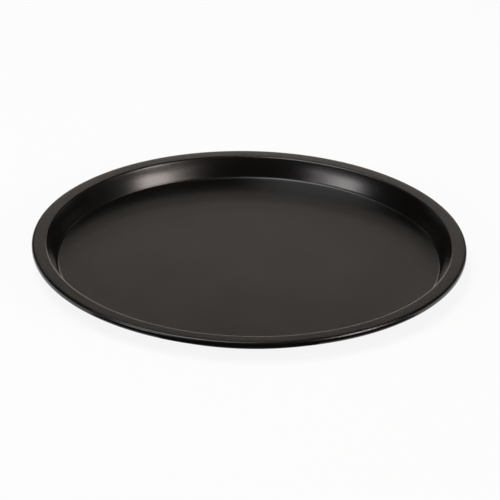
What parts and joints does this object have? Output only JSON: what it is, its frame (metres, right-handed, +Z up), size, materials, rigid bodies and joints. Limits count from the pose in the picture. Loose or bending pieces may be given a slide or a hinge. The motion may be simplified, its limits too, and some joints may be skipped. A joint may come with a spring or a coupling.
{
  "type": "pizza pan",
  "caption": "Round, shallow, flat-bottomed pizza pan of coated sheet steel, with a sloping wall, a flat rim and an edge curled round a wire.",
  "frame": {"origin": "middle of the flat underside that the pan rests on", "axes": "+Z up along the pan's axis, out of its mouth; the pan is round, so +X and +Y are alike"},
  "size_m": [0.32, 0.32, 0.015],
  "materials": {
    "carbon_steel": "cold-rolled sheet, matt; seen only at the raw edge under the rim",
    "food_coating": "baked non-stick film, warm black, satin with a fine sprayed texture",
    "back_coating": "baked heat-resistant film, black, duller than the food side",
    "wire_steel": "bright drawn wire, closed inside the curled edge"
  },
  "bodies": {
    "root": {"pan_body": "carbon_steel", "food_coating": "food_coating", "back_coating": "back_coating", "rim_wire": "wire_steel"}
  },
  "joints": []
}
